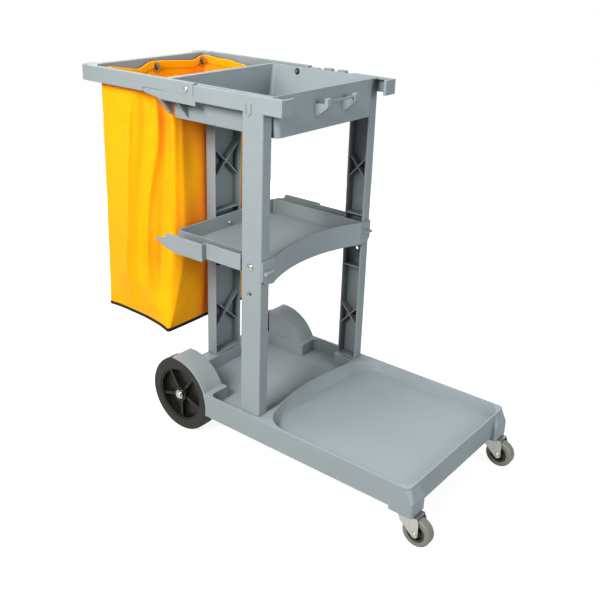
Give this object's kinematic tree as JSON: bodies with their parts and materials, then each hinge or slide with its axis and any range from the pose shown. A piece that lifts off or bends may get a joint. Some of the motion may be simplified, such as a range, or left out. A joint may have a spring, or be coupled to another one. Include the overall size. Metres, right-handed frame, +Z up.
{
  "type": "janitor cart",
  "caption": "Moulded grey cleaning cart with low front deck, ribbed posts, shelf, top tray and a yellow waste bag in a rear frame; large rear wheels and swivel casters",
  "frame": {"origin": "on the floor under the middle of the cart's bounding box", "axes": "+X towards the front deck, +Y towards the far side of the cart, +Z up"},
  "size_m": [1.164, 0.492, 0.982],
  "materials": {
    "grey_plastic": "moulded, fine grain, satin",
    "bag_vinyl": "coated vinyl sheet, slight sheen",
    "bag_binding": "woven tape",
    "zinc_steel": "zinc plated",
    "bright_steel": "bright plated",
    "dark_steel": "blackened",
    "wheel_tyre": "moulded rubber",
    "hub_plastic": "moulded",
    "caster_rubber": "moulded grey rubber"
  },
  "bodies": {
    "cart": {"base_platform": "grey_plastic", "near_front_post": "grey_plastic", "far_front_post": "grey_plastic", "rear_post": "grey_plastic", "mid_shelf": "grey_plastic", "top_tray": "grey_plastic", "near_tray_rail": "grey_plastic", "far_tray_rail": "grey_plastic", "bag_frame": "grey_plastic", "waste_bag": "bag_vinyl", "bag_binding": "bag_binding", "bag_grommets": "zinc_steel", "bag_hooks": "zinc_steel", "frame_bolts": "zinc_steel", "frame_nuts": "dark_steel", "shelf_bolts": "zinc_steel", "shelf_washers": "zinc_steel", "shelf_nuts": "zinc_steel", "rear_shelf_screw": "zinc_steel", "foot_screws": "zinc_steel", "tray_screws": "zinc_steel", "rear_axle": "zinc_steel", "axle_washers": "zinc_steel", "axle_caps": "bright_steel", "near_caster_stem": "zinc_steel", "near_caster_cup": "zinc_steel", "far_caster_stem": "zinc_steel", "far_caster_cup": "zinc_steel"},
    "near_wheel": {"near_wheel_tyre": "wheel_tyre", "near_wheel_hub": "hub_plastic", "near_wheel_bush": "hub_plastic"},
    "far_wheel": {"far_wheel_tyre": "wheel_tyre", "far_wheel_hub": "hub_plastic", "far_wheel_bush": "hub_plastic"},
    "near_swivel": {"near_caster_fork": "zinc_steel", "near_caster_balls": "zinc_steel", "near_caster_dust_ring": "hub_plastic", "near_caster_pin": "zinc_steel", "near_caster_nut": "zinc_steel"},
    "near_caster_wheel": {"near_caster_tyre": "caster_rubber", "near_caster_hub": "hub_plastic", "near_caster_bush": "zinc_steel"},
    "far_swivel": {"far_caster_fork": "zinc_steel", "far_caster_balls": "zinc_steel", "far_caster_dust_ring": "hub_plastic", "far_caster_pin": "zinc_steel", "far_caster_nut": "zinc_steel"},
    "far_caster_wheel": {"far_caster_tyre": "caster_rubber", "far_caster_hub": "hub_plastic", "far_caster_bush": "zinc_steel"}
  },
  "joints": [
    {"name": "near_wheel_roll", "type": "hinge", "parent": "cart", "child": "near_wheel", "pos_m": [-0.23, -0.203, 0.108], "axis": [0, 1, 0], "continuous": true},
    {"name": "far_wheel_roll", "type": "hinge", "parent": "cart", "child": "far_wheel", "pos_m": [-0.23, 0.203, 0.108], "axis": [0, 1, 0], "continuous": true},
    {"name": "near_caster_swivel", "type": "hinge", "parent": "cart", "child": "near_swivel", "pos_m": [0.516, -0.213, 0.0805], "axis": [0, 0, 1], "continuous": true},
    {"name": "near_caster_roll", "type": "hinge", "parent": "near_swivel", "child": "near_caster_wheel", "pos_m": [0.545, -0.213, 0.037], "axis": [0, 1, 0], "continuous": true},
    {"name": "far_caster_swivel", "type": "hinge", "parent": "cart", "child": "far_swivel", "pos_m": [0.516, 0.213, 0.0805], "axis": [0, 0, 1], "continuous": true},
    {"name": "far_caster_roll", "type": "hinge", "parent": "far_swivel", "child": "far_caster_wheel", "pos_m": [0.545, 0.213, 0.037], "axis": [0, 1, 0], "continuous": true}
  ]
}
